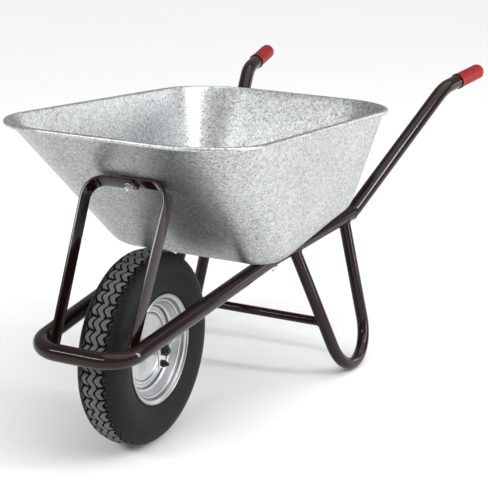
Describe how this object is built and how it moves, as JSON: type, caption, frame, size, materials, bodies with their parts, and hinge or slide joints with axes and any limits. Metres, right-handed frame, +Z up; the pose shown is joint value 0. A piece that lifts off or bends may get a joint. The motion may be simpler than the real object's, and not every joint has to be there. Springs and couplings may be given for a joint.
{
  "type": "wheelbarrow",
  "caption": "Builder's wheelbarrow with a deep galvanised pan, bent tube frame, flat-bar front struts, U-shaped legs, plastic grips and a spinning pneumatic wheel.",
  "frame": {"origin": "on the ground, below the middle of the whole barrow", "axes": "+Y from the wheel towards the grips, +X to the pusher's left, +Z up"},
  "size_m": [0.6136, 1.4377, 0.6687],
  "materials": {
    "galvanised_steel": "hot-dip galvanised, fine spangle",
    "frame_paint": "glossy dark brown paint",
    "zinc_steel": "bright zinc plated",
    "black_steel": "blackened steel, satin",
    "silver_paint": "silver paint, semi-gloss",
    "tyre_rubber": "matt rubber, block tread",
    "tube_rubber": "smooth rubber",
    "grip_plastic": "satin moulded plastic",
    "bush_nylon": "natural nylon"
  },
  "bodies": {
    "frame": {"axle": "black_steel", "axle_bracket_left": "zinc_steel", "axle_bracket_right": "zinc_steel", "axle_nut": "black_steel", "axle_washer_left": "zinc_steel", "axle_washer_right": "zinc_steel", "frame_tube": "frame_paint", "front_strut_bolt": "zinc_steel", "front_strut_left": "frame_paint", "front_strut_nut": "zinc_steel", "front_strut_right": "frame_paint", "front_strut_washer": "zinc_steel", "grip_left": "grip_plastic", "grip_right": "grip_plastic", "handle_left": "frame_paint", "handle_right": "frame_paint", "keeper_bolt_left": "black_steel", "keeper_bolt_right": "black_steel", "keeper_nut_left": "black_steel", "keeper_nut_right": "black_steel", "leg_cross_brace": "frame_paint", "leg_left": "frame_paint", "leg_right": "frame_paint", "tray": "galvanised_steel", "tray_front_left_bolt": "zinc_steel", "tray_front_left_nut": "zinc_steel", "tray_front_left_washer": "zinc_steel", "tray_front_right_bolt": "zinc_steel", "tray_front_right_nut": "zinc_steel", "tray_front_right_washer": "zinc_steel", "tray_rim_wire": "zinc_steel", "tray_saddle_front_left": "frame_paint", "tray_saddle_front_right": "frame_paint", "tray_saddle_rear_left": "frame_paint", "tray_saddle_rear_right": "frame_paint"},
    "wheel": {"tyre": "tyre_rubber", "inner_tube": "tube_rubber", "rim_half_left": "silver_paint", "rim_half_right": "silver_paint", "valve_stem": "tube_rubber", "valve_cap": "tube_rubber", "hub_tube": "silver_paint", "axle_bush_left": "bush_nylon", "axle_bush_right": "bush_nylon"}
  },
  "joints": [
    {"name": "wheel_spin", "type": "hinge", "parent": "frame", "child": "wheel", "pos_m": [0, -0.4497, 0.2], "axis": [1, 0, 0], "continuous": true}
  ]
}
